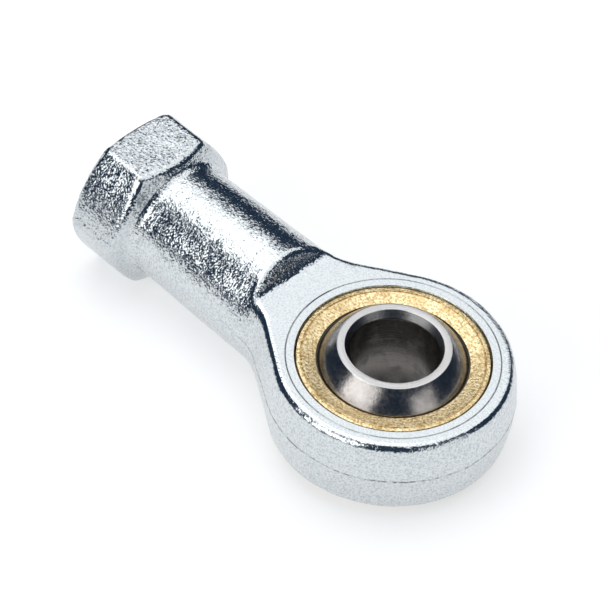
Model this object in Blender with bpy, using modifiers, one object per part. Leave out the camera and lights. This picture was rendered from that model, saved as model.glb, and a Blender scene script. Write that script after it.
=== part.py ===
"""Female-thread rod end bearing of size class 10 (10 mm bore, M10 thread).

A forged and plated steel housing holds a brass race in its eye. A ball with a through bore turns and
tilts in the race on a thin woven PTFE liner.

The model is built about the eye's centre. The world origin lies under the middle of the object, level
with the lower flat of the hexagon, so the shank runs towards -X and the bore's axis is parallel to Z.
"""

import math

import bmesh
import bpy
from mathutils import Vector

MM = 0.001

# Ball
BALL_RADIUS = 9.525 * MM
BALL_HALF_WIDTH = 7.0 * MM
BALL_BORE_RADIUS = 5.0 * MM
BALL_CHAMFER_WIDTH = 0.55 * MM
BALL_CHAMFER_DEPTH = 0.9 * MM

# Liner and race
RUNNING_GAP = 0.05 * MM
LINER_THICKNESS = 0.275 * MM
LINER_HALF_WIDTH = 4.6 * MM
RACE_RADIUS = 11.0 * MM
RACE_HALF_WIDTH = 4.95 * MM
RACE_EDGE_BREAK = 0.2 * MM
STAKE_GROOVE_RADIUS = 10.25 * MM
STAKE_GROOVE_DEPTH = 0.45 * MM
STAKE_GROOVE_HALF_WIDTH = 0.22 * MM

# Head of the housing
EYE_RADIUS = 14.2 * MM
EYE_RIM_RADIUS = 13.6 * MM
EYE_HALF_THICKNESS = 5.1 * MM
EYE_RIM_ROUNDING = 0.5 * MM
NECK_SLOPE_MIDDLE = math.radians(31.5)
NECK_SLOPE_FACE = math.radians(33.5)
HEAD_REACH = 17.0 * MM

# Ramps that step the round shank down to the flat faces of the head
RAMP_FOOT = 16.3 * MM
RAMP_ANGLE = math.radians(61.5)
RAMP_FILLET = 0.8 * MM

# Shank and hexagon
LENGTH_TO_EYE = 43.0 * MM
SHANK_START = 13.5 * MM
SHANK_RADIUS_NECK = 7.65 * MM
SHANK_RADIUS_HEX = 7.2 * MM
HEX_SHOULDER = 35.6 * MM
HEX_FILLET = 1.2 * MM
HEX_ACROSS_FLATS = 17.0 * MM
HEX_RIDGE_ROUNDING = 1.2 * MM
HEX_SHOULDER_CONE = math.radians(31)
HEX_END_CHAMFER = 1.1 * MM

# Threaded socket, M10 x 1.5, bored to the thread's minor diameter
THREAD_MINOR_RADIUS = 4.188 * MM
DRILL_DEPTH = 22.0 * MM
DRILL_POINT = 2.5 * MM
SOCKET_CHAMFER_RADIUS = 5.25 * MM

# Fineness of the faceted solids
ROUND_SEGMENTS = 48
BALL_ARC_STEPS = 14
RACE_ARC_STEPS = 10
HEAD_ARC_STEPS = 36
FILLET_STEPS = 4
RIDGE_STEPS = 3
BARREL_SHARES = (0.0, 0.35, 0.7, 1.0)
SMOOTH_ANGLE = math.radians(30)
MERGE_DISTANCE = 0.000001

# Overshoot that carries a cutter clear of what it cuts
CLEAR = 2.0 * MM

# The eye's centre in the world
EYE_CENTRE = Vector(((LENGTH_TO_EYE - EYE_RADIUS) / 2, 0.0, HEX_ACROSS_FLATS / 2))

# Turns local +Z towards world -X, so that a height is a distance from the eye along the shank
ALONG_SHANK = (0.0, -math.pi / 2, 0.0)


def clear_scene():
    for obj in list(bpy.data.objects):
        bpy.data.objects.remove(obj, do_unlink=True)


def new_collection(name):
    collection = bpy.data.collections.new(name)
    bpy.context.scene.collection.children.link(collection)
    return collection


def plain_material(name, colour, roughness, metallic):
    material = bpy.data.materials.new(name)
    material.use_nodes = True
    shader = material.node_tree.nodes["Principled BSDF"]
    shader.inputs["Base Color"].default_value = (*colour, 1.0)
    shader.inputs["Roughness"].default_value = roughness
    shader.inputs["Metallic"].default_value = metallic
    material.diffuse_color = (*colour, 1.0)
    return material


def zinc_plated_steel():
    return plain_material("zinc_plated_steel", (0.62, 0.64, 0.66), 0.38, 1.0)


def turned_brass():
    return plain_material("turned_brass", (0.76, 0.60, 0.32), 0.35, 1.0)


def woven_ptfe():
    return plain_material("woven_ptfe", (0.05, 0.045, 0.04), 0.80, 0.0)


def polished_steel():
    return plain_material("polished_steel", (0.42, 0.42, 0.43), 0.12, 1.0)


def object_from_bmesh(name, bm, collection, material, rotation=(0.0, 0.0, 0.0)):
    """Places a finished bmesh at the eye's centre as an object of its own."""
    mesh = bpy.data.meshes.new(name)
    bm.to_mesh(mesh)
    bm.free()
    mesh.materials.append(material)
    obj = bpy.data.objects.new(name, mesh)
    obj.location = EYE_CENTRE
    obj.rotation_euler = rotation
    collection.objects.link(obj)
    return obj


def shade(obj):
    obj.data.shade_smooth()
    obj.data.set_sharp_from_angle(angle=SMOOTH_ANGLE)


def arc(centre, radius, start, end, steps):
    """Points (radius, height) on a circle of a profile, from one angle to another, both included."""
    angles = [start + (end - start) * step / steps for step in range(steps + 1)]
    return [
        (centre[0] + radius * math.cos(angle), centre[1] + radius * math.sin(angle))
        for angle in angles
    ]


def turned(name, profile, closed, collection, material, rotation=(0.0, 0.0, 0.0)):
    """A turned solid. The profile's (radius, height) points run down its outer side."""
    bm = bmesh.new()
    verts = [bm.verts.new((radius, 0.0, height)) for radius, height in profile]
    for first, second in zip(verts, verts[1:]):
        bm.edges.new((first, second))
    if closed:
        bm.edges.new((verts[-1], verts[0]))
    obj = object_from_bmesh(name, bm, collection, material, rotation)
    screw = obj.modifiers.new("Turn", "SCREW")
    screw.axis = "Z"
    screw.steps = ROUND_SEGMENTS
    screw.render_steps = ROUND_SEGMENTS
    screw.use_merge_vertices = True
    screw.merge_threshold = MERGE_DISTANCE
    screw.use_smooth_shade = True
    return obj


def combine(obj, other, operation):
    boolean = obj.modifiers.new(other.name, "BOOLEAN")
    boolean.operation = operation
    boolean.solver = "EXACT"
    boolean.object = other


def as_cutter(obj):
    obj.hide_render = True
    obj.display_type = "WIRE"
    return obj


def sphere_angle(radius, height):
    return math.asin(height / radius)


# The ball --------------------------------------------------------------------------------------------


def make_ball(collection, material):
    edge = sphere_angle(BALL_RADIUS, BALL_HALF_WIDTH)
    mouth_radius = BALL_BORE_RADIUS + BALL_CHAMFER_WIDTH
    bore_top = BALL_HALF_WIDTH - BALL_CHAMFER_DEPTH
    profile = arc((0.0, 0.0), BALL_RADIUS, edge, -edge, BALL_ARC_STEPS)
    profile += [
        (mouth_radius, -BALL_HALF_WIDTH),
        (BALL_BORE_RADIUS, -bore_top),
        (BALL_BORE_RADIUS, bore_top),
        (mouth_radius, BALL_HALF_WIDTH),
    ]
    return turned("ball", profile, True, collection, material)


# The liner -------------------------------------------------------------------------------------------


def make_liner(collection, material):
    inner_radius = BALL_RADIUS + RUNNING_GAP
    outer_radius = inner_radius + LINER_THICKNESS
    outer_edge = sphere_angle(outer_radius, LINER_HALF_WIDTH)
    inner_edge = sphere_angle(inner_radius, LINER_HALF_WIDTH)
    profile = arc((0.0, 0.0), outer_radius, outer_edge, -outer_edge, RACE_ARC_STEPS)
    profile += arc((0.0, 0.0), inner_radius, -inner_edge, inner_edge, RACE_ARC_STEPS)
    return turned("ptfe_liner", profile, True, collection, material)


# The race --------------------------------------------------------------------------------------------


def race_face(side):
    """One end face from the outer edge inwards, with its V-shaped staking groove. Side is 1 or -1."""
    height = side * RACE_HALF_WIDTH
    return [
        (RACE_RADIUS, height - side * RACE_EDGE_BREAK),
        (RACE_RADIUS - RACE_EDGE_BREAK, height),
        (STAKE_GROOVE_RADIUS + STAKE_GROOVE_HALF_WIDTH, height),
        (STAKE_GROOVE_RADIUS, height - side * STAKE_GROOVE_DEPTH),
        (STAKE_GROOVE_RADIUS - STAKE_GROOVE_HALF_WIDTH, height),
    ]


def make_race(collection, material):
    seat_radius = BALL_RADIUS + LINER_THICKNESS + 2 * RUNNING_GAP
    seat_edge = sphere_angle(seat_radius, RACE_HALF_WIDTH)
    profile = race_face(-1)
    profile += arc((0.0, 0.0), seat_radius, -seat_edge, seat_edge, RACE_ARC_STEPS)
    profile += reversed(race_face(1))
    return turned("brass_race", profile, True, collection, material)


# The housing -----------------------------------------------------------------------------------------


def head_outline(radius, slope):
    """Teardrop outline at one height: an arc about the eye, and two tangents that end in the shank."""
    half_turn = math.pi / 2 + slope
    end_half_width = (radius - HEAD_REACH * math.sin(slope)) / math.cos(slope)
    points = arc((0.0, 0.0), radius, half_turn, -half_turn, HEAD_ARC_STEPS)
    return [(-HEAD_REACH, end_half_width), *points, (-HEAD_REACH, -end_half_width)]


def head_sections():
    """Outlines and heights from the middle of the head up: a barrel side, then the rounded rim."""
    side_top = EYE_HALF_THICKNESS - EYE_RIM_ROUNDING
    sections = []
    for share in BARREL_SHARES:
        radius = EYE_RADIUS - (EYE_RADIUS - EYE_RIM_RADIUS) * share**2
        slope = NECK_SLOPE_MIDDLE + (NECK_SLOPE_FACE - NECK_SLOPE_MIDDLE) * share**2
        sections.append((head_outline(radius, slope), side_top * share))
    for angle in (math.pi / 4, math.pi / 2):
        inset = EYE_RIM_ROUNDING * (1 - math.cos(angle))
        height = side_top + EYE_RIM_ROUNDING * math.sin(angle)
        sections.append((head_outline(EYE_RIM_RADIUS - inset, NECK_SLOPE_FACE), height))
    return sections


def make_head_blank(collection, material):
    """The flat eye before boring, lofted through its outlines from the lower face to the upper one."""
    upper = head_sections()
    lower = [(outline, -height) for outline, height in reversed(upper[1:])]
    bm = bmesh.new()
    rings = []
    for outline, height in lower + upper:
        rings.append([bm.verts.new((x, y, height)) for x, y in outline])
    for ring in rings:
        for first, second in zip(ring, ring[1:] + ring[:1]):
            bm.edges.new((first, second))
    bmesh.ops.bridge_loops(bm, edges=bm.edges[:])
    bm.faces.new(rings[0])
    bm.faces.new(rings[-1])
    bmesh.ops.recalc_face_normals(bm, faces=bm.faces)
    return object_from_bmesh("rod_end_housing", bm, collection, material)


def make_shank_blank(collection, material):
    """The round shank, a little thicker at the neck, with the fillet that ends in the hexagon."""
    fillet_start = HEX_SHOULDER - HEX_FILLET
    fillet_centre = (SHANK_RADIUS_HEX + HEX_FILLET, fillet_start)
    fillet = arc(fillet_centre, HEX_FILLET, math.pi / 2, math.pi, FILLET_STEPS)
    buried_end = HEX_SHOULDER + CLEAR
    profile = [(0.0, buried_end), (fillet[0][0], buried_end)]
    profile += fillet
    profile += [(SHANK_RADIUS_NECK, SHANK_START), (0.0, SHANK_START)]
    return as_cutter(turned("shank_blank", profile, False, collection, material, ALONG_SHANK))


def make_hex_blank(collection, material):
    """A hexagonal bar with rounded ridges. Two of its flats are parallel to the faces of the head."""
    corner_radius = HEX_ACROSS_FLATS / 2 / math.cos(math.pi / 6)
    bm = bmesh.new()
    bmesh.ops.create_cone(
        bm,
        cap_ends=True,
        segments=6,
        radius1=corner_radius,
        radius2=corner_radius,
        depth=LENGTH_TO_EYE - HEX_SHOULDER + 2 * CLEAR,
    )
    ridges = [edge for edge in bm.edges if abs(edge.verts[0].co.z - edge.verts[1].co.z) > CLEAR]
    bmesh.ops.bevel(
        bm,
        geom=ridges,
        offset=HEX_RIDGE_ROUNDING * math.tan(math.pi / 6),
        segments=RIDGE_STEPS,
        profile=0.5,
        affect="EDGES",
    )
    bmesh.ops.translate(bm, verts=bm.verts, vec=(0.0, 0.0, (HEX_SHOULDER + LENGTH_TO_EYE) / 2))
    return as_cutter(object_from_bmesh("hex_blank", bm, collection, material, ALONG_SHANK))


def make_hex_envelope(collection, material):
    """The turned shape that chamfers both ends of the hexagon."""
    flat_radius = HEX_ACROSS_FLATS / 2
    end_radius = flat_radius - HEX_END_CHAMFER
    full_radius = flat_radius + CLEAR
    profile = [
        (0.0, LENGTH_TO_EYE),
        (end_radius, LENGTH_TO_EYE),
        (full_radius, LENGTH_TO_EYE - HEX_END_CHAMFER - CLEAR),
        (full_radius, HEX_SHOULDER + CLEAR * math.tan(HEX_SHOULDER_CONE)),
        (flat_radius, HEX_SHOULDER),
        (0.0, HEX_SHOULDER),
    ]
    return as_cutter(turned("hex_envelope", profile, False, collection, material, ALONG_SHANK))


def make_ramp_cutter(side, collection, material):
    """The space over one face of the head, with the ramp up to the shank and its fillet."""
    steep = (math.cos(RAMP_ANGLE), math.sin(RAMP_ANGLE))
    top = SHANK_RADIUS_NECK + CLEAR
    rise = top - EYE_HALF_THICKNESS
    tangent = RAMP_FILLET * math.tan(RAMP_ANGLE / 2)
    fillet_centre = (tangent - RAMP_FOOT, EYE_HALF_THICKNESS + RAMP_FILLET)
    quarter = math.pi / 2
    outline = [(-RAMP_FOOT - rise * steep[0] / steep[1], top)]
    outline += arc(fillet_centre, RAMP_FILLET, -quarter - RAMP_ANGLE, -quarter, FILLET_STEPS)
    outline += [(CLEAR - SHANK_START, EYE_HALF_THICKNESS), (CLEAR - SHANK_START, top)]
    bm = bmesh.new()
    face = bm.faces.new([bm.verts.new((x, -EYE_RADIUS, side * z)) for x, z in outline])
    swept = bmesh.ops.extrude_face_region(bm, geom=[face])
    moved = [item for item in swept["geom"] if isinstance(item, bmesh.types.BMVert)]
    bmesh.ops.translate(bm, verts=moved, vec=(0.0, 2 * EYE_RADIUS, 0.0))
    bmesh.ops.recalc_face_normals(bm, faces=bm.faces)
    name = "upper_ramp_cutter" if side > 0 else "lower_ramp_cutter"
    return as_cutter(object_from_bmesh(name, bm, collection, material))


def make_eye_cutter(collection, material):
    radius = RACE_RADIUS + RUNNING_GAP
    reach = EYE_HALF_THICKNESS + CLEAR
    profile = [(0.0, reach), (radius, reach), (radius, -reach), (0.0, -reach)]
    return as_cutter(turned("eye_cutter", profile, False, collection, material))


def make_socket_cutter(collection, material):
    """The drilled socket with its chamfered mouth, at the thread's minor diameter."""
    chamfer = SOCKET_CHAMFER_RADIUS - THREAD_MINOR_RADIUS
    drill_end = LENGTH_TO_EYE - DRILL_DEPTH
    profile = [
        (0.0, LENGTH_TO_EYE + CLEAR),
        (SOCKET_CHAMFER_RADIUS, LENGTH_TO_EYE + CLEAR),
        (SOCKET_CHAMFER_RADIUS, LENGTH_TO_EYE),
        (THREAD_MINOR_RADIUS, LENGTH_TO_EYE - chamfer),
        (THREAD_MINOR_RADIUS, drill_end),
        (0.0, drill_end - DRILL_POINT),
    ]
    return as_cutter(turned("socket_cutter", profile, False, collection, material, ALONG_SHANK))


def make_housing(collection, cutters, material):
    shank = make_shank_blank(cutters, material)
    for side in (1, -1):
        combine(shank, make_ramp_cutter(side, cutters, material), "DIFFERENCE")
    hexagon = make_hex_blank(cutters, material)
    combine(hexagon, make_hex_envelope(cutters, material), "INTERSECT")
    housing = make_head_blank(collection, material)
    shade(housing)
    combine(housing, shank, "UNION")
    combine(housing, hexagon, "UNION")
    combine(housing, make_eye_cutter(cutters, material), "DIFFERENCE")
    combine(housing, make_socket_cutter(cutters, material), "DIFFERENCE")
    return housing


def main():
    clear_scene()
    parts = new_collection("rod_end_bearing")
    cutters = new_collection("cutters")
    make_housing(parts, cutters, zinc_plated_steel())
    make_race(parts, turned_brass())
    make_liner(parts, woven_ptfe())
    make_ball(parts, polished_steel())


main()
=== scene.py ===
"""Looks of the rod end bearing: its finely shaped pieces, their materials, a plain floor, soft lights and
the camera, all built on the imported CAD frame.

Shapes are worked out in millimetres about the eye's centre, with the shank towards -X and the ball's bore
along Z. Each piece is moved into the frame, in metres, when it is made.
"""

import math

import bmesh
import bpy
import numpy as np
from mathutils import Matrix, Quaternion, Vector, noise


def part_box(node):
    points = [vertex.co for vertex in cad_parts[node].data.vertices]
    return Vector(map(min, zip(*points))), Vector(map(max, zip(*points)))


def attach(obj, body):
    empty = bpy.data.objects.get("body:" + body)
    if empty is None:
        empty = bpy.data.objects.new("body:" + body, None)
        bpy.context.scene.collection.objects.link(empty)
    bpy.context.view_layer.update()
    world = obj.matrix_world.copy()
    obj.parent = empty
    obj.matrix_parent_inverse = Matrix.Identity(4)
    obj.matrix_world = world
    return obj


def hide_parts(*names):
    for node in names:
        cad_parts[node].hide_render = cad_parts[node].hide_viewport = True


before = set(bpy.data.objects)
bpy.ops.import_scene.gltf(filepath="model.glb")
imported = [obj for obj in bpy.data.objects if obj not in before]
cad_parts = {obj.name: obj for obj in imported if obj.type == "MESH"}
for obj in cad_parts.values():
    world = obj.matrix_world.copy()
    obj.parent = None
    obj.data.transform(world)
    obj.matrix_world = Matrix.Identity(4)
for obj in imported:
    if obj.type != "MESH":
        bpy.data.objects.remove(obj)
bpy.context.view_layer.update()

MM = 0.001

# Sizes that the frame gives
BALL_LOW, BALL_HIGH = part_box("ball")
_, RACE_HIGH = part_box("brass_race")
HOUSING_LOW, HOUSING_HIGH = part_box("rod_end_housing")
EYE = (BALL_LOW + BALL_HIGH) / 2
BALL_RADIUS = (BALL_HIGH.x - EYE.x) / MM
BALL_HALF_WIDTH = (BALL_HIGH.z - EYE.z) / MM
RACE_RADIUS = (RACE_HIGH.x - EYE.x) / MM
RACE_HALF_WIDTH = (RACE_HIGH.z - EYE.z) / MM
EYE_RADIUS = (HOUSING_HIGH.x - EYE.x) / MM
SHANK_END = (EYE.x - HOUSING_LOW.x) / MM
HEX_HALF_WIDTH = (HOUSING_HIGH.z - EYE.z) / MM

# Head of the housing, in millimetres. Past RIM_START from the middle plane its side grows less rough.
RIM_RADIUS = 13.6
HALF_THICKNESS = 5.1
SIDE_TOP = 4.6
RIM_ROUNDING = 0.75
RIM_START = 3.4
NECK_SLOPE_MIDDLE = math.radians(31.5)
NECK_SLOPE_FACE = math.radians(33.5)
HEAD_REACH = 17.0
HEAD_BURIED_THICKNESS = 5.6
NECK_FILLET = 1.0
PRESS_GAP = 0.05
EYE_BORE_RADIUS = RACE_RADIUS + PRESS_GAP
EYE_BORE_BREAK = 0.12
FACE_LINE_RADIUS = 12.1
FACE_LINE_WIDTH = 0.18
FACE_LINE_DEPTH = 0.12

# Ramps between the shank and the faces of the head. Between two places the edge beside the faces goes
# from the rim's rounding to the ramps'.
RAMP_FOOT = 16.3
RAMP_ANGLE = math.radians(61.5)
RAMP_FILLET = 0.6
RAMP_EDGE_ROUNDING = 0.45
EDGE_PLACES = (RAMP_FOOT - 2.0, RAMP_FOOT + 1.0)

# Shank and hexagon. The shank tapers from its radius at the neck to its radius at the hexagon.
SHANK_START = 12.0
TAPER_PLACES = (13.5, 34.4)
TAPER_RADII = (7.65, 7.2)
HEX_SHOULDER = 35.6
HEX_FILLET = 0.5
HEX_RIDGE_ROUNDING = 0.9
HEX_SIDE_RIDGE_ROUNDING = 2.0
HEX_SIDE_RIDGE_HEIGHT = 4.0
HEX_SIDE_CROWN = 0.45
HEX_EDGE_ROUNDING = 0.45
HEX_SHOULDER_CONE = math.radians(31)
HEX_END_RADIUS = 8.6
HEX_END_CONE = math.radians(20)
END_EDGE_ROUNDING = 0.4

# Threaded socket, M10 x 1.5
THREAD_PITCH = 1.5
THREAD_RADIUS = 5.0
THREAD_HEIGHT = 0.812
THREAD_DEPTH = 20.0
THREAD_RUN_OUT = 1.5
SOCKET_CHAMFER_RADIUS = 5.25
DRILL_DEPTH = 22.0
DRILL_POINT = 2.5

# How far a cutter stands clear of what it cuts, and how far a plug laps over its bore's wall
CUTTER_REACH = 2.0
PLUG_OVERLAP = 0.4

# Surface of the forging. Each wave is a length and a height.
SKIN_VOXEL = 0.24
SKIN_START = 0.6
FORGED_WAVES = ((3.6, 0.05), (1.3, 0.022), (0.7, 0.012))
FORGED_SKIN_START = 0.35
PARTING_LINE_HEIGHT = 0.05
PARTING_LINE_WIDTH = 0.25
PARTING_SEAM_HEIGHT = 0.2
PARTING_SEAM_WANDER = 0.3

# Race. Its groove and bands are measured inwards from its outer radius.
RACE_MOUTH_RADIUS = 8.62
RACE_DISH = 0.32
RACE_EDGE_BREAK = 0.10
RACE_EDGE_DEPTH = 0.50
RACE_BAND_FALL = 0.02
GROOVE_START = 0.54
GROOVE_MIDDLE = 0.64
GROOVE_END = 0.74
GROOVE_DEPTH = 0.20
GROOVE_LIP = 0.03
RACE_EDGE_ROUNDING = 0.06
GROOVE_EDGE_ROUNDING = 0.05
GROOVE_BOTTOM_ROUNDING = 0.03
GROOVE_LIP_ROUNDING = 0.04
SEAT_GAP = 0.26
SEAT_LAND = 0.12

# Liner
LINER_CLEARANCE = 0.04
LINER_BOND_GAP = 0.02
LINER_INSET = 0.2

# Ball
BALL_BORE_RADIUS = 5.0
BALL_MOUTH_RADIUS = 5.6
BALL_CHAMFER_DEPTH = 0.95
BALL_EDGE_BREAK = 0.12
BALL_FACE_ROUNDING = 0.06
BALL_MOUTH_ROUNDING = 0.05
BALL_BORE_ROUNDING = 0.10

# Fineness of the meshes
ROUND_SEGMENTS = 160
SOCKET_SEGMENTS = 72
ROWS_PER_PITCH = 14
PLUG_SEGMENTS = 64
BALL_STEPS = 40
SEAT_STEPS = 24
LINER_STEPS = 20
WELD_DISTANCE = 0.0005

# Edges that turn by more than this stay sharp in the shading
HOUSING_SHARP_ANGLE = math.radians(40)
RING_SHARP_ANGLE = math.radians(50)
BALL_SHARP_ANGLE = math.radians(60)


# Meshes ----------------------------------------------------------------------------------------------


def link(obj):
    bpy.context.scene.collection.objects.link(obj)
    return obj


def mesh_object(name, points, faces):
    mesh = bpy.data.meshes.new(name)
    mesh.from_pydata([tuple(point) for point in points], [], faces)
    mesh.update()
    return link(bpy.data.objects.new(name, mesh))


def points_of(mesh):
    flat = np.empty(len(mesh.vertices) * 3, np.float32)
    mesh.vertices.foreach_get("co", flat)
    return flat.reshape(-1, 3).astype(float)


def normals_of(mesh):
    flat = np.empty(len(mesh.vertices) * 3, np.float32)
    mesh.vertices.foreach_get("normal", flat)
    return flat.reshape(-1, 3).astype(float)


def move_points(mesh, points):
    mesh.vertices.foreach_set("co", points.astype(np.float32).ravel())
    mesh.update()


def apply_modifiers(obj):
    """Replaces the object's mesh by what its modifiers make of it."""
    graph = bpy.context.evaluated_depsgraph_get()
    mesh = bpy.data.meshes.new_from_object(obj.evaluated_get(graph))
    obj.modifiers.clear()
    obj.data = mesh


def into_frame(obj, body, node, material):
    """Turns a finished shape in millimetres into a piece of the object that replaces its CAD node."""
    move_points(obj.data, points_of(obj.data) * MM + np.array(EYE))
    obj.data.materials.clear()
    obj.data.materials.append(material)
    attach(obj, body)
    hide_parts(node)


def soften(corners, steps=4):
    """Rounds the corners of a profile. Each corner is (radius, height, rounding)."""
    points = []
    count = len(corners)
    for index, (x, y, rounding) in enumerate(corners):
        corner = Vector((x, y))
        if rounding == 0:
            points.append(corner)
            continue
        before = (Vector(corners[index - 1][:2]) - corner).normalized()
        after = (Vector(corners[(index + 1) % count][:2]) - corner).normalized()
        half_angle = before.angle(after) / 2
        start = corner + before * rounding / math.tan(half_angle)
        end = corner + after * rounding / math.tan(half_angle)
        centre = corner + (before + after).normalized() * rounding / math.sin(half_angle)
        spokes = start - centre, end - centre
        for step in range(steps + 1):
            share = step / steps
            spoke = spokes[0] * (1 - share) + spokes[1] * share
            points.append(centre + spoke.normalized() * rounding)
    return [tuple(point) for point in points]


def sphere_arc(radius, start_height, end_height, steps):
    """Profile corners on a sphere about the eye's centre, from one height to another."""
    start, end = math.asin(start_height / radius), math.asin(end_height / radius)
    angles = [start + (end - start) * step / steps for step in range(steps + 1)]
    return [(radius * math.cos(angle), radius * math.sin(angle), 0) for angle in angles]


def turned_points(profile):
    """The (radius, height) points of a profile, copied in even steps about Z."""
    angles = [2 * math.pi * step / ROUND_SEGMENTS for step in range(ROUND_SEGMENTS)]
    return [
        (radius * math.cos(angle), radius * math.sin(angle), height)
        for angle in angles
        for radius, height in profile
    ]


def turned_faces(rows, closed):
    """Faces between the copies of a profile that has that many points."""
    faces = []
    for step in range(ROUND_SEGMENTS):
        here, beside = step * rows, (step + 1) % ROUND_SEGMENTS * rows
        for row in range(rows if closed else rows - 1):
            after = (row + 1) % rows
            faces.append((here + row, here + after, beside + after, beside + row))
    return faces


def turned_ring(name, profile):
    """A ring turned about Z from a closed profile that runs down its outer side."""
    return mesh_object(name, turned_points(profile), turned_faces(len(profile), closed=True))


def turned_plug(name, profile):
    """A plug turned about Z from a profile that runs down its side, with both ends capped."""
    rows = len(profile)
    faces = turned_faces(rows, closed=False)
    faces.append([step * rows for step in range(ROUND_SEGMENTS)])
    faces.append([step * rows + rows - 1 for step in reversed(range(ROUND_SEGMENTS))])
    return mesh_object(name, turned_points(profile), faces)


def shade_by_area(obj, sharp_angle):
    """Smooth shading that keeps the large flat faces flat."""
    obj.data.shade_smooth()
    obj.data.set_sharp_from_angle(angle=sharp_angle)
    weighted = obj.modifiers.new("Weighted normals", "WEIGHTED_NORMAL")
    weighted.keep_sharp = True


# Housing ---------------------------------------------------------------------------------------------
# The forging is a field that is negative inside the metal and 0 on its skin, in millimetres.


def cut_rounded(a, b, rounding):
    """What lies inside both a and b, with the edge between them rounded."""
    corner = np.hypot(np.maximum(a + rounding, 0), np.maximum(b + rounding, 0))
    return corner + np.minimum(np.maximum(a, b) + rounding, 0) - rounding


def join_filleted(a, b, fillet):
    """What lies inside a or b, with a fillet in the corner between them."""
    return -cut_rounded(-a, -b, fillet)


def head_field(along, y, z):
    """Teardrop with a barrel side. Along runs from the eye towards the shank's end."""
    swell = (z / SIDE_TOP) ** 2
    radius = EYE_RADIUS - (EYE_RADIUS - RIM_RADIUS) * swell
    slope = NECK_SLOPE_MIDDLE + (NECK_SLOPE_FACE - NECK_SLOPE_MIDDLE) * swell
    sine, cosine = np.sin(slope), np.cos(slope)
    on_neck = along * cosine - np.abs(y) * sine > 0
    side = np.where(
        on_neck,
        along * sine + np.abs(y) * cosine - radius,
        np.hypot(along, y) - radius,
    )
    return np.maximum(side, np.maximum(np.abs(z) - HEAD_BURIED_THICKNESS, along - HEAD_REACH))


def shank_field(along, y, z):
    side = np.hypot(y, z) - np.interp(along, TAPER_PLACES, TAPER_RADII)
    return np.maximum(side, np.maximum(SHANK_START - along, along - HEX_SHOULDER - HEX_FILLET))


def face_field(along, z):
    """The flat faces of the head and the ramps that rise from them to the round shank."""
    face = np.abs(z) - HALF_THICKNESS
    ramp = face * math.cos(RAMP_ANGLE) - (along - RAMP_FOOT) * math.sin(RAMP_ANGLE)
    return join_filleted(face, ramp, RAMP_FILLET)


def hexagon_field(y, z, half_width):
    """Distance to a hexagon with two true flats at right angles to Z and four crowned ones."""
    fold_y, fold_z = -math.cos(math.pi / 6), math.sin(math.pi / 6)
    across, up = np.abs(y), np.abs(z)
    over = 2 * np.minimum(fold_y * across + fold_z * up, 0)
    across, up = across - over * fold_y, up - over * fold_z
    flat_half = half_width * math.tan(math.pi / 6)
    crown = np.where(over < 0, HEX_SIDE_CROWN, 0) * np.maximum(1 - (across / flat_half) ** 2, 0)
    across = across - np.clip(across, -flat_half, flat_half)
    up = up - half_width - crown
    return np.hypot(across, up) * np.sign(up)


def hex_field(along, y, z):
    reach = np.hypot(y, z)
    ridge_heights = (0, HEX_SIDE_RIDGE_HEIGHT)
    ridge = np.interp(np.abs(z), ridge_heights, (HEX_SIDE_RIDGE_ROUNDING, HEX_RIDGE_ROUNDING))
    flats = hexagon_field(y, z, HEX_HALF_WIDTH - ridge) - ridge
    from_shoulder = along - HEX_SHOULDER
    sine, cosine = math.sin(HEX_SHOULDER_CONE), math.cos(HEX_SHOULDER_CONE)
    shoulder_cone = (reach - HEX_HALF_WIDTH) * sine - from_shoulder * cosine
    end = along - SHANK_END
    end_cone = (reach - HEX_END_RADIUS) * math.sin(HEX_END_CONE) + end * math.cos(HEX_END_CONE)
    body = cut_rounded(flats, shoulder_cone, HEX_EDGE_ROUNDING)
    body = cut_rounded(body, end_cone, END_EDGE_ROUNDING)
    return cut_rounded(body, end, END_EDGE_ROUNDING)


def forging_field(points):
    along, y, z = -points[:, 0], points[:, 1], points[:, 2]
    body = join_filleted(head_field(along, y, z), shank_field(along, y, z), NECK_FILLET)
    edge = np.interp(along, EDGE_PLACES, (RIM_ROUNDING, RAMP_EDGE_ROUNDING))
    body = cut_rounded(body, face_field(along, z), edge)
    return join_filleted(body, hex_field(along, y, z), HEX_FILLET)


def gradient_of(field, points, step=0.02):
    sides = [
        (field(points + step * axis) - field(points - step * axis)) / (2 * step)
        for axis in np.eye(3)
    ]
    return np.stack(sides, axis=1)


def settle(points, field, rounds=10):
    """Moves points on to the field's skin along its gradient."""
    longest_move, least_slope = 0.5, 0.1
    for _ in range(rounds):
        gradient = gradient_of(field, points)
        squared = np.maximum((gradient**2).sum(axis=1), least_slope)
        move = np.clip(field(points) / squared, -longest_move, longest_move)
        points = points - move[:, None] * gradient
    return points


def forged_skin(points):
    """How far the forging's skin stands proud of its ideal shape at each point."""
    height = np.zeros(len(points))
    for wave_length, amplitude in FORGED_WAVES:
        scaled = points / wave_length
        height += amplitude * np.array([noise.noise(Vector(point)) for point in scaled])
    height += PARTING_LINE_HEIGHT * np.exp(-((points[:, 2] / PARTING_LINE_WIDTH) ** 2))
    return height


def forged_share(points):
    """0 on the machined faces of the head and of the shank's end, and 1 on the forged skin."""
    along = -points[:, 0]
    over_head = along < RAMP_FOOT - RAMP_FILLET
    from_face = np.where(over_head, np.abs(np.abs(points[:, 2]) - HALF_THICKNESS), RAMP_FILLET)
    from_end = SHANK_END - along
    return np.clip(np.minimum(from_face, from_end) / FORGED_SKIN_START, 0, 1)


def add_plug(bm, radius, length):
    """A cylinder along Z about the eye's centre that fills a bore and laps over its wall."""
    wide = radius + PLUG_OVERLAP
    made = bmesh.ops.create_cone(
        bm, cap_ends=True, segments=PLUG_SEGMENTS, radius1=wide, radius2=wide, depth=length
    )
    return made["verts"]


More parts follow.
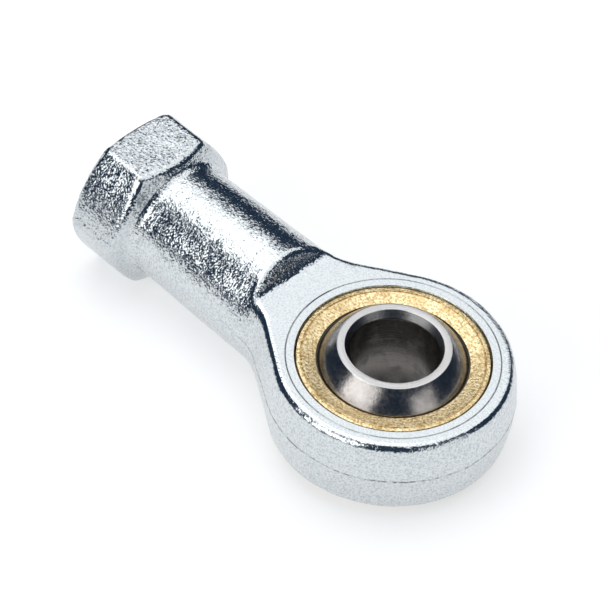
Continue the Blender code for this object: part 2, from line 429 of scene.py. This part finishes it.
def plugged_housing():
    """The mesh of the CAD housing, in millimetres about the eye, with its bores filled."""
    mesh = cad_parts["rod_end_housing"].data.copy()
    move_points(mesh, (points_of(mesh) - np.array(EYE)) / MM)
    bm = bmesh.new()
    bm.from_mesh(mesh)
    bmesh.ops.remove_doubles(bm, verts=bm.verts, dist=WELD_DISTANCE)
    add_plug(bm, EYE_BORE_RADIUS, 2 * HALF_THICKNESS)
    socket_length = DRILL_DEPTH + DRILL_POINT + PLUG_OVERLAP
    socket_plug = add_plug(bm, SOCKET_CHAMFER_RADIUS, socket_length)
    along_x = Quaternion((0, 1, 0), math.pi / 2).to_matrix()
    bmesh.ops.rotate(bm, verts=socket_plug, cent=(0, 0, 0), matrix=along_x)
    bmesh.ops.translate(bm, verts=socket_plug, vec=(socket_length / 2 - SHANK_END, 0, 0))
    bm.to_mesh(mesh)
    bm.free()
    return mesh


def make_blank():
    """The CAD housing without its bores, as one even skin that follows the forging's field."""
    blank = link(bpy.data.objects.new("housing", plugged_housing()))
    remesh = blank.modifiers.new("Skin", "REMESH")
    remesh.mode = "VOXEL"
    remesh.voxel_size = SKIN_VOXEL
    apply_modifiers(blank)
    points = settle(points_of(blank.data) + SKIN_START * normals_of(blank.data), forging_field)
    gradient = gradient_of(forging_field, points)
    outward = gradient / np.linalg.norm(gradient, axis=1)[:, None]
    proud = forged_skin(points) * forged_share(points)
    move_points(blank.data, points + outward * proud[:, None])
    return blank


def make_eye_cutter():
    """The eye's bore with broken edges."""
    top = HALF_THICKNESS
    reach = top + CUTTER_REACH
    wide = EYE_BORE_RADIUS + EYE_BORE_BREAK
    upper = [(wide, reach), (wide, top), (EYE_BORE_RADIUS, top - 2 * EYE_BORE_BREAK)]
    lower = [(radius, -height) for radius, height in reversed(upper)]
    return turned_plug("eye_cutter", upper + lower)


def make_line_cutter(side):
    """The thin turned line round the eye on one face of the head. Side is 1 or -1."""
    outer, inner = FACE_LINE_RADIUS + FACE_LINE_WIDTH, FACE_LINE_RADIUS - FACE_LINE_WIDTH
    profile = [
        (outer, side * (HALF_THICKNESS + FACE_LINE_DEPTH)),
        (FACE_LINE_RADIUS, side * (HALF_THICKNESS - FACE_LINE_DEPTH)),
        (inner, side * (HALF_THICKNESS + FACE_LINE_DEPTH)),
    ]
    if side < 0:
        profile.reverse()
    return turned_ring("line_cutter", profile)


def thread_radius(depth, angle):
    """Radius of the socket's wall at a depth from its mouth and an angle round its axis."""
    half_root, flank_width = 1 / 16, 5 / 16
    turn = depth / THREAD_PITCH - angle / (2 * math.pi)
    from_root = abs((turn + 0.5) % 1 - 0.5)
    flank = min(max((from_root - half_root) / flank_width, 0), 1)
    height = THREAD_HEIGHT * min(max((THREAD_DEPTH - depth) / THREAD_RUN_OUT, 0), 1)
    minor = THREAD_RADIUS - THREAD_HEIGHT
    wall = minor + height * (1 - flank)
    return max(wall, SOCKET_CHAMFER_RADIUS - max(depth, 0))


def make_socket_cutter():
    """The socket's hollow as a solid: a chamfered mouth, the helical thread and the drill's cone."""
    step = THREAD_PITCH / ROWS_PER_PITCH
    threaded_depths = list(np.arange(0, THREAD_DEPTH + step, step))
    depths = [-CUTTER_REACH] + threaded_depths + [DRILL_DEPTH]
    points = []
    for depth in depths:
        for index in range(SOCKET_SEGMENTS):
            angle = 2 * math.pi * index / SOCKET_SEGMENTS
            radius = thread_radius(depth, angle)
            points.append(
                (depth - SHANK_END, radius * math.cos(angle), radius * math.sin(angle))
            )
    tip = len(points)
    points.append((DRILL_DEPTH + DRILL_POINT - SHANK_END, 0, 0))
    faces = []
    sides = [(index, (index + 1) % SOCKET_SEGMENTS) for index in range(SOCKET_SEGMENTS)]
    for row in range(len(depths) - 1):
        first, second = row * SOCKET_SEGMENTS, (row + 1) * SOCKET_SEGMENTS
        faces += [(first + a, first + b, second + b, second + a) for a, b in sides]
    faces.append(list(reversed(range(SOCKET_SEGMENTS))))
    last = (len(depths) - 1) * SOCKET_SEGMENTS
    faces += [(last + a, last + b, tip) for a, b in sides]
    return mesh_object("socket_cutter", points, faces)


def make_housing(material):
    housing = make_blank()
    cutters = [make_eye_cutter(), make_line_cutter(1), make_line_cutter(-1), make_socket_cutter()]
    for cutter in cutters:
        boolean = housing.modifiers.new(cutter.name, "BOOLEAN")
        boolean.operation = "DIFFERENCE"
        boolean.solver = "EXACT"
        boolean.object = cutter
    apply_modifiers(housing)
    for cutter in cutters:
        bpy.data.objects.remove(cutter)
    into_frame(housing, "housing", "rod_end_housing", material)
    housing.data.shade_smooth()
    housing.data.set_sharp_from_angle(angle=HOUSING_SHARP_ANGLE)


# Race, liner and ball --------------------------------------------------------------------------------


def race_face(side):
    """One end face of the race, from its outer edge inwards: a narrow band, the staking groove and a dish."""
    top = RACE_HALF_WIDTH
    edge = RACE_RADIUS - RACE_EDGE_BREAK
    corners = [
        (RACE_RADIUS, top - RACE_EDGE_DEPTH - RACE_EDGE_BREAK, 0),
        (edge, top - RACE_EDGE_DEPTH, 0),
        (edge, top - RACE_BAND_FALL, RACE_EDGE_ROUNDING),
        (RACE_RADIUS - GROOVE_START, top, GROOVE_EDGE_ROUNDING),
        (RACE_RADIUS - GROOVE_MIDDLE, top - GROOVE_DEPTH, GROOVE_BOTTOM_ROUNDING),
        (RACE_RADIUS - GROOVE_END, top - GROOVE_LIP, GROOVE_LIP_ROUNDING),
        (RACE_MOUTH_RADIUS, top - RACE_DISH, RACE_EDGE_ROUNDING),
    ]
    return [(radius, side * height, rounding) for radius, height, rounding in corners]


def make_race(material):
    seat_radius = BALL_RADIUS + SEAT_GAP
    seat_top = RACE_HALF_WIDTH - RACE_DISH - SEAT_LAND
    corners = race_face(-1)
    corners += sphere_arc(seat_radius, -seat_top, seat_top, SEAT_STEPS)
    corners += reversed(race_face(1))
    race = turned_ring("race", soften(corners))
    into_frame(race, "housing", "brass_race", material)
    shade_by_area(race, RING_SHARP_ANGLE)


def make_liner(material):
    inner = BALL_RADIUS + LINER_CLEARANCE
    outer = BALL_RADIUS + SEAT_GAP - LINER_BOND_GAP
    top = RACE_HALF_WIDTH - RACE_DISH - LINER_INSET
    corners = sphere_arc(outer, top, -top, LINER_STEPS)
    corners += sphere_arc(inner, -top, top, LINER_STEPS)
    liner = turned_ring("liner", soften(corners))
    into_frame(liner, "liner", "ptfe_liner", material)
    shade_by_area(liner, RING_SHARP_ANGLE)


def make_ball(material):
    top = BALL_HALF_WIDTH
    bore_top = top - BALL_CHAMFER_DEPTH
    belt_top = top - BALL_EDGE_BREAK
    face_radius = math.sqrt(BALL_RADIUS**2 - top**2)
    corners = [(face_radius, top, BALL_FACE_ROUNDING)]
    corners += sphere_arc(BALL_RADIUS, belt_top, -belt_top, BALL_STEPS)
    corners += [
        (face_radius, -top, BALL_FACE_ROUNDING),
        (BALL_MOUTH_RADIUS, -top, BALL_MOUTH_ROUNDING),
        (BALL_BORE_RADIUS, -bore_top, BALL_BORE_ROUNDING),
        (BALL_BORE_RADIUS, bore_top, BALL_BORE_ROUNDING),
        (BALL_MOUTH_RADIUS, top, BALL_MOUTH_ROUNDING),
    ]
    ball = turned_ring("spherical_ball", soften(corners))
    into_frame(ball, "ball", "ball", material)
    shade_by_area(ball, BALL_SHARP_ANGLE)


# Materials -------------------------------------------------------------------------------------------


class Finish:
    """A material's node tree, built by short calls. Its coordinates are in millimetres from the eye."""

    def __init__(self, name, **constants):
        self.material = bpy.data.materials.new(name)
        self.material.use_nodes = True
        self.tree = self.material.node_tree
        self.shader = self.tree.nodes["Principled BSDF"]
        for socket, value in constants.items():
            self.shader.inputs[socket.replace("_", " ").title()].default_value = value
        place = self.node("ShaderNodeTexCoord").outputs["Object"]
        from_eye = self.vector("SUBTRACT", place, tuple(EYE))
        self.place = self.vector("SCALE", from_eye, scale=1 / MM)

    def feed(self, socket, value):
        if isinstance(value, bpy.types.NodeSocket):
            self.tree.links.new(value, socket)
        else:
            socket.default_value = value

    def node(self, kind, inputs=None, **settings):
        made = self.tree.nodes.new(kind)
        for name, value in settings.items():
            setattr(made, name, value)
        for name, value in (inputs or {}).items():
            self.feed(made.inputs[name], value)
        return made

    def vector(self, operation, first, second=None, scale=None):
        made = self.node("ShaderNodeVectorMath", {0: first}, operation=operation)
        if second is not None:
            self.feed(made.inputs[1], second)
        if scale is not None:
            self.feed(made.inputs["Scale"], scale)
        return made.outputs["Value" if operation == "LENGTH" else "Vector"]

    def math(self, operation, first, second=0.0):
        return self.node("ShaderNodeMath", {0: first, 1: second}, operation=operation).outputs[0]

    def span(self, value, low, high, to_low=0.0, to_high=1.0):
        """Maps a range on to another with soft ends."""
        return self.node(
            "ShaderNodeMapRange",
            {"Value": value, "From Min": low, "From Max": high, "To Min": to_low, "To Max": to_high},
            interpolation_type="SMOOTHSTEP",
        ).outputs["Result"]

    def grain(self, size, detail=3.0, roughness=0.55, place=None):
        """Noise from 0 to 1 whose grains are about that many millimetres wide."""
        return self.node(
            "ShaderNodeTexNoise",
            {
                "Vector": place or self.place,
                "Scale": 1 / size,
                "Detail": detail,
                "Roughness": roughness,
            },
        ).outputs[0]

    def dimples(self, size):
        """Round hollows about that many millimetres wide: 0 at their bottoms, up to 1 between them."""
        depth = self.node(
            "ShaderNodeTexVoronoi",
            {"Vector": self.place, "Scale": 1 / size, "Smoothness": 0.4},
            feature="SMOOTH_F1",
        ).outputs["Distance"]
        return self.math("MULTIPLY", depth, depth)

    def blend(self, share, first, second):
        made = self.node("ShaderNodeMix", {"Factor": share}, data_type="RGBA")
        self.feed(made.inputs[6], first)
        self.feed(made.inputs[7], second)
        return made.outputs[2]

    def bump(self, height, depth, normal=None):
        """Relief whose full height is that many millimetres."""
        made = self.node("ShaderNodeBump", {"Height": height, "Distance": depth * MM})
        if normal is not None:
            self.feed(made.inputs["Normal"], normal)
        return made.outputs["Normal"]

    def facets(self, size, tilt, share, normal):
        """Tilts the normal by a random amount in each cell of about that many millimetres."""
        cell = self.node("ShaderNodeTexVoronoi", {"Vector": self.place, "Scale": 1 / size})
        lean = self.vector("SUBTRACT", cell.outputs["Color"], (0.5, 0.5, 0.5))
        lean = self.vector("SCALE", lean, scale=self.math("MULTIPLY", share, tilt))
        return self.vector("NORMALIZE", self.vector("ADD", normal, lean))

    def complete(self, tint, roughness, normal):
        """Feeds the shader and gives the finished material."""
        self.feed(self.shader.inputs["Base Color"], tint)
        self.feed(self.shader.inputs["Roughness"], roughness)
        self.feed(self.shader.inputs["Normal"], normal)
        return self.material

    def axis_parts(self):
        parts = self.node("ShaderNodeSeparateXYZ", {0: self.place}).outputs
        return parts["X"], parts["Y"], parts["Z"]

    def distance(self, one_way, crosswise):
        square = self.math("MULTIPLY", one_way, one_way)
        return self.math("SQRT", self.math("ADD", square, self.math("MULTIPLY", crosswise, crosswise)))

    def from_axis(self):
        """Distance from the axis of the eye."""
        x, y, _ = self.axis_parts()
        return self.distance(x, y)

    def ring_place(self, stretch):
        """Coordinates that change fast with the radius and the height and slowly round the axis."""
        x, y, z = self.axis_parts()
        radius = self.from_axis()
        shrink = 1 / stretch
        return self.node(
            "ShaderNodeCombineXYZ",
            {
                0: self.math("ADD", radius, self.math("MULTIPLY", x, shrink)),
                1: self.math("MULTIPLY", y, shrink),
                2: z,
            },
        ).outputs[0]


def colour(red, green, blue):
    return (red, green, blue, 1.0)


def machined_share(finish, over_head):
    """1 on the faces of the head, on the shank's end and in the socket, and 0 on the forged skin."""
    x, y, z = finish.axis_parts()
    height = finish.math("ABSOLUTE", z)
    at_face = finish.span(height, HALF_THICKNESS - 0.12, HALF_THICKNESS - 0.04)
    on_face = finish.math("MULTIPLY", at_face, over_head)
    at_end = finish.span(x, 0.16 - SHANK_END, 0.06 - SHANK_END)
    near_axis = finish.span(finish.distance(y, z), SOCKET_CHAMFER_RADIUS + 0.2, SOCKET_CHAMFER_RADIUS)
    in_socket = finish.math("MULTIPLY", near_axis, finish.span(x, 0.0, -RAMP_FOOT))
    return finish.math("MAXIMUM", on_face, finish.math("MAXIMUM", at_end, in_socket))


def speckle_share(finish, forged, over_head):
    """How strong the speckle is: full on the forged skin, milder on the rim, faint where machined."""
    _, _, z = finish.axis_parts()
    height = finish.math("ABSOLUTE", z)
    on_rim = finish.math("MULTIPLY", finish.span(height, RIM_START, HALF_THICKNESS), over_head)
    least, added_on_skin, added_on_rim = 0.2, 0.8, 0.5
    added = finish.span(on_rim, 0.0, 1.0, added_on_skin, added_on_rim)
    return finish.math("ADD", least, finish.math("MULTIPLY", forged, added))


def parting_seam(finish):
    """1 on the thin broken line where the forging dies met, a little above the middle plane."""
    x, _, z = finish.axis_parts()
    wander = finish.math("SUBTRACT", finish.grain(size=5.0, detail=1.0), 0.5)
    height = finish.math("ADD", z, finish.math("MULTIPLY", wander, PARTING_SEAM_WANDER))
    from_seam = finish.math("ABSOLUTE", finish.math("SUBTRACT", height, PARTING_SEAM_HEIGHT))
    broken = finish.span(finish.grain(size=0.5, detail=2.0), 0.44, 0.60, 0.3, 1.0)
    seam = finish.math("MULTIPLY", finish.span(from_seam, 0.12, 0.04), broken)
    on_head = finish.span(x, -RAMP_FOOT - 2.0, -RAMP_FOOT + 3.0)
    return finish.math("MULTIPLY", seam, on_head)


def face_line(finish, machined):
    """1 on the turned line round the eye, where painted shade darkens the groove."""
    from_line = finish.math("ABSOLUTE", finish.math("SUBTRACT", finish.from_axis(), FACE_LINE_RADIUS))
    return finish.math("MULTIPLY", finish.span(from_line, 0.12, 0.05), machined)


def zinc_relief(finish, forged, lumps, seam, speckled):
    """Small dimples, grains and lumps, the seam's furrow, and facets that scatter the reflections."""
    dimples = finish.math("MULTIPLY", finish.dimples(size=0.22), speckled)
    grains = finish.math("MULTIPLY", finish.grain(size=0.25, detail=1.0), speckled)
    normal = finish.bump(dimples, depth=0.020)
    normal = finish.bump(grains, depth=0.020, normal=normal)
    normal = finish.bump(finish.math("MULTIPLY", lumps, forged), depth=0.05, normal=normal)
    normal = finish.bump(seam, depth=-0.04, normal=normal)
    return finish.facets(size=0.20, tilt=0.17, share=speckled, normal=normal)


def zinc_tint(finish, machined, forged, seam):
    """Bright plate, dull in its pits and on the hexagon, dark in the seam, and painted dark with shade in the
    groove of the turned line.
    """
    bright, dull, dark = colour(0.68, 0.715, 0.725), colour(0.46, 0.495, 0.51), colour(0.16, 0.17, 0.18)
    x, _, _ = finish.axis_parts()
    pits = finish.span(finish.grain(size=0.24, detail=2.0), 0.62, 0.28)
    pits = finish.math("MULTIPLY", pits, finish.span(forged, 0.0, 1.0, 0.55, 1.0))
    tint = finish.blend(pits, bright, dull)
    dullness_of_hexagon, seam_darkness_and_groove_shade = 0.28, 0.8
    on_hexagon = finish.span(x, 1.0 - HEX_SHOULDER, -HEX_SHOULDER, 0.0, dullness_of_hexagon)
    tint = finish.blend(on_hexagon, tint, dull)
    # The seam is darkened as the forging's own mark; the turned line's groove is darkened with painted shade
    for line in (seam, face_line(finish, machined)):
        tint = finish.blend(finish.math("MULTIPLY", line, seam_darkness_and_groove_shade), tint, dark)
    return tint


def zinc_plated_steel():
    finish = Finish("zinc_plated_steel", metallic=1.0)
    x, _, _ = finish.axis_parts()
    over_head = finish.span(x, -RAMP_FOOT - 0.3, -RAMP_FOOT + 1.2)
    machined = machined_share(finish, over_head)
    forged = finish.math("SUBTRACT", 1.0, machined)
    speckled = speckle_share(finish, forged, over_head)
    lumps = finish.grain(size=0.9, detail=2.0)
    seam = parting_seam(finish)
    tint = zinc_tint(finish, machined, forged, seam)
    roughness = finish.span(lumps, 0.2, 0.8, 0.13, 0.19)
    return finish.complete(tint, roughness, zinc_relief(finish, forged, lumps, seam, speckled))


def turned_brass():
    finish = Finish("turned_brass", metallic=1.0)
    pale, dark = colour(0.98, 0.83, 0.53), colour(0.46, 0.31, 0.12)
    rings = finish.grain(size=0.22, detail=3.0, roughness=0.65, place=finish.ring_place(stretch=6.0))
    mottle = finish.grain(size=0.28, detail=2.0, roughness=0.6)
    stain = finish.grain(size=2.6, detail=2.0)
    paleness = finish.span(mottle, 0.32, 0.64)
    paleness = finish.math("MULTIPLY", paleness, finish.span(stain, 0.3, 0.6, 0.55, 1.0))
    normal = finish.bump(mottle, depth=0.055, normal=finish.bump(rings, depth=0.03))
    roughness = finish.span(rings, 0.3, 0.7, 0.22, 0.42)
    return finish.complete(finish.blend(paleness, dark, pale), roughness, normal)


def woven_ptfe():
    finish = Finish("woven_ptfe")
    dark, pale = colour(0.03, 0.026, 0.02), colour(0.10, 0.085, 0.065)
    weave = finish.grain(size=0.10, detail=2.0)
    threads = finish.grain(size=0.25, detail=1.0, place=finish.ring_place(stretch=4.0))
    normal = finish.bump(finish.math("ADD", weave, threads), depth=0.03)
    roughness = finish.span(weave, 0.2, 0.8, 0.65, 0.9)
    return finish.complete(finish.blend(weave, dark, pale), roughness, normal)


def bore_painted_light_and_stains(finish, stains):
    """The bore's wall: painted shade, dark at both ends, and a painted reflection, palest a little below its
    middle, with darker stains.
    """
    # pale is a painted reflection and dark is painted shade; stain is the wall's real stains
    pale, dark, stain = colour(0.235, 0.22, 0.21), colour(0.06, 0.055, 0.05), colour(0.12, 0.115, 0.11)
    _, _, z = finish.axis_parts()
    from_painted_reflection_peak = finish.math("ABSOLUTE", finish.math("ADD", z, 0.7))
    tint = finish.blend(finish.span(from_painted_reflection_peak, 0.3, 3.4), pale, dark)
    return finish.blend(finish.span(stains, 0.45, 0.65), tint, stain)


def ball_tint_and_painted_shade(finish, turned_share):
    """Dark polished steel with stains and bright end faces; the chamfer is painted darker as shade, and the
    bore carries painted shade and a painted reflection.
    """
    dark, stain = colour(0.44, 0.41, 0.385), colour(0.16, 0.15, 0.15)
    chamfer, bright = colour(0.24, 0.235, 0.23), colour(0.60, 0.59, 0.58)
    _, _, z = finish.axis_parts()
    height = finish.math("ABSOLUTE", z)
    from_axis = finish.from_axis()
    stains = finish.grain(size=2.4, detail=3.0)
    tint = finish.blend(finish.span(stains, 0.35, 0.62, 0.4, 0.0), dark, stain)
    # The chamfer round the bore's mouth is painted darker with shade
    near_mouth = finish.span(from_axis, BALL_MOUTH_RADIUS + 0.02, BALL_MOUTH_RADIUS - 0.02)
    tint = finish.blend(finish.math("MULTIPLY", turned_share, near_mouth), tint, chamfer)
    in_bore = finish.span(from_axis, BALL_BORE_RADIUS + 0.08, BALL_BORE_RADIUS + 0.03)
    # The bore's wall is painted with shade and a reflection
    tint = finish.blend(in_bore, tint, bore_painted_light_and_stains(finish, stains))
    at_face = finish.span(height, BALL_HALF_WIDTH - 0.1, BALL_HALF_WIDTH - 0.04)
    return finish.blend(at_face, tint, bright)


def polished_steel():
    finish = Finish("polished_steel", metallic=1.0)
    from_centre = finish.vector("LENGTH", finish.place)
    on_sphere = finish.span(from_centre, BALL_RADIUS - 0.06, BALL_RADIUS - 0.03)
    turned_share = finish.math("SUBTRACT", 1.0, on_sphere)
    rings = finish.grain(size=0.16, detail=2.0, roughness=0.6, place=finish.ring_place(stretch=40.0))
    scuffs = finish.grain(size=0.35, detail=3.0, roughness=0.6)
    normal = finish.bump(finish.math("MULTIPLY", rings, turned_share), depth=0.035)
    normal = finish.bump(scuffs, depth=0.012, normal=normal)
    roughness = finish.span(scuffs, 0.3, 0.7, 0.17, 0.27)
    roughness = finish.math("ADD", roughness, finish.math("MULTIPLY", turned_share, 0.10))
    return finish.complete(ball_tint_and_painted_shade(finish, turned_share), roughness, normal)


def floor_white():
    finish = Finish("floor_white", roughness=0.75, emission_strength=0.52)
    cloud = finish.grain(size=60.0, detail=2.0)
    tint = finish.blend(cloud, colour(0.59, 0.60, 0.61), colour(0.62, 0.62, 0.62))
    finish.feed(finish.shader.inputs["Base Color"], tint)
    return finish.material


# Stage -----------------------------------------------------------------------------------------------

FLOOR_LENGTH, FLOOR_WIDTH = 0.44, 0.24
FLOOR_AHEAD = 0.10
FLOOR_GAP = 0.00002
ROOM_GLOW = 0.07
BACKDROP_GLOW = 1.0


def make_floor():
    """The floor touches the hexagon's lower flat and the far edge of the ball's lower face."""
    ball_edge = EYE.x + math.sqrt(BALL_RADIUS**2 - BALL_HALF_WIDTH**2) * MM
    hex_edge = EYE.x - HEX_SHOULDER * MM
    tilt = math.atan2(BALL_LOW.z - HOUSING_LOW.z, ball_edge - hex_edge)
    bm = bmesh.new()
    bmesh.ops.create_grid(bm, x_segments=8, y_segments=8, size=1 / 2)
    bmesh.ops.scale(bm, verts=bm.verts, vec=(FLOOR_LENGTH, FLOOR_WIDTH, 1))
    bmesh.ops.translate(bm, verts=bm.verts, vec=(FLOOR_AHEAD, 0, 0))
    mesh = bpy.data.meshes.new("floor")
    bm.to_mesh(mesh)
    bm.free()
    floor = link(bpy.data.objects.new("floor", mesh))
    floor.location = (hex_edge, 0, HOUSING_LOW.z - FLOOR_GAP)
    floor.rotation_euler = (0, -tilt, 0)
    floor.data.materials.append(floor_white())


def add_softbox(name, azimuth, elevation, distance, size, radiance):
    """A rectangular area light that faces the object. Azimuth 0 stands at -Y and 90 at +X."""
    turn, rise = math.radians(azimuth), math.radians(elevation)
    away = Vector(
        (math.sin(turn) * math.cos(rise), -math.cos(turn) * math.cos(rise), math.sin(rise))
    )
    data = bpy.data.lights.new(name, "AREA")
    data.shape = "RECTANGLE"
    data.size, data.size_y = size
    data.energy = radiance * math.pi * size[0] * size[1]
    light = link(bpy.data.objects.new(name, data))
    light.location = EYE + away * distance
    light.rotation_mode = "QUATERNION"
    light.rotation_quaternion = (-away).to_track_quat("-Z", "Y")


def make_world():
    """The room is dark and a little blue in reflections, and pale where it is seen past the floor."""
    world = bpy.data.worlds.new("studio")
    world.use_nodes = True
    nodes, links = world.node_tree.nodes, world.node_tree.links
    seen = nodes.new("ShaderNodeLightPath").outputs["Is Camera Ray"]
    room, backdrop = nodes["Background"], nodes.new("ShaderNodeBackground")
    room.inputs["Color"].default_value = colour(0.25, 0.52, 1.0)
    room.inputs["Strength"].default_value = ROOM_GLOW
    backdrop.inputs["Color"].default_value = colour(1.0, 1.0, 1.0)
    backdrop.inputs["Strength"].default_value = BACKDROP_GLOW
    chosen = nodes.new("ShaderNodeMixShader")
    links.new(seen, chosen.inputs["Fac"])
    links.new(room.outputs["Background"], chosen.inputs[1])
    links.new(backdrop.outputs["Background"], chosen.inputs[2])
    links.new(chosen.outputs["Shader"], nodes["World Output"].inputs["Surface"])
    bpy.context.scene.world = world


def make_lights():
    add_softbox("top_box", azimuth=-150, elevation=77, distance=0.70, size=(1.12, 1.14), radiance=1.25)
    add_softbox("top_box_middle", azimuth=-85, elevation=66, distance=0.60, size=(0.50, 0.44), radiance=0.80)
    add_softbox("left_box", azimuth=-6, elevation=28, distance=0.70, size=(0.58, 0.52), radiance=2.1)
    add_softbox("right_box", azimuth=92, elevation=15, distance=0.70, size=(0.40, 0.44), radiance=0.95)


def show_plain_colours():
    bpy.context.scene.view_settings.view_transform = "Standard"


# The camera stands 600 mm from the eye and looks a little past it towards the shank
CAMERA_PLACE = Vector((264.5, -308.7, 441.3)) * MM
CAMERA_AIM = Vector((-16.4, 1.8, 0.0)) * MM
CAMERA_ROLL = math.radians(5.17)
CAMERA_LENS = 321.0
SENSOR_WIDTH = 36.0


def make_camera():
    data = bpy.data.cameras.new("camera")
    data.lens = CAMERA_LENS
    data.sensor_width = SENSOR_WIDTH
    data.clip_start, data.clip_end = 0.05, 10.0
    camera = link(bpy.data.objects.new("camera", data))
    camera.location = EYE + CAMERA_PLACE
    camera.rotation_mode = "QUATERNION"
    level = (CAMERA_AIM - CAMERA_PLACE).to_track_quat("-Z", "Y")
    camera.rotation_quaternion = level @ Quaternion((0, 0, 1), CAMERA_ROLL)
    bpy.context.scene.camera = camera


make_camera()
make_housing(zinc_plated_steel())
make_race(turned_brass())
make_liner(woven_ptfe())
make_ball(polished_steel())
make_floor()
make_world()
make_lights()
show_plain_colours()
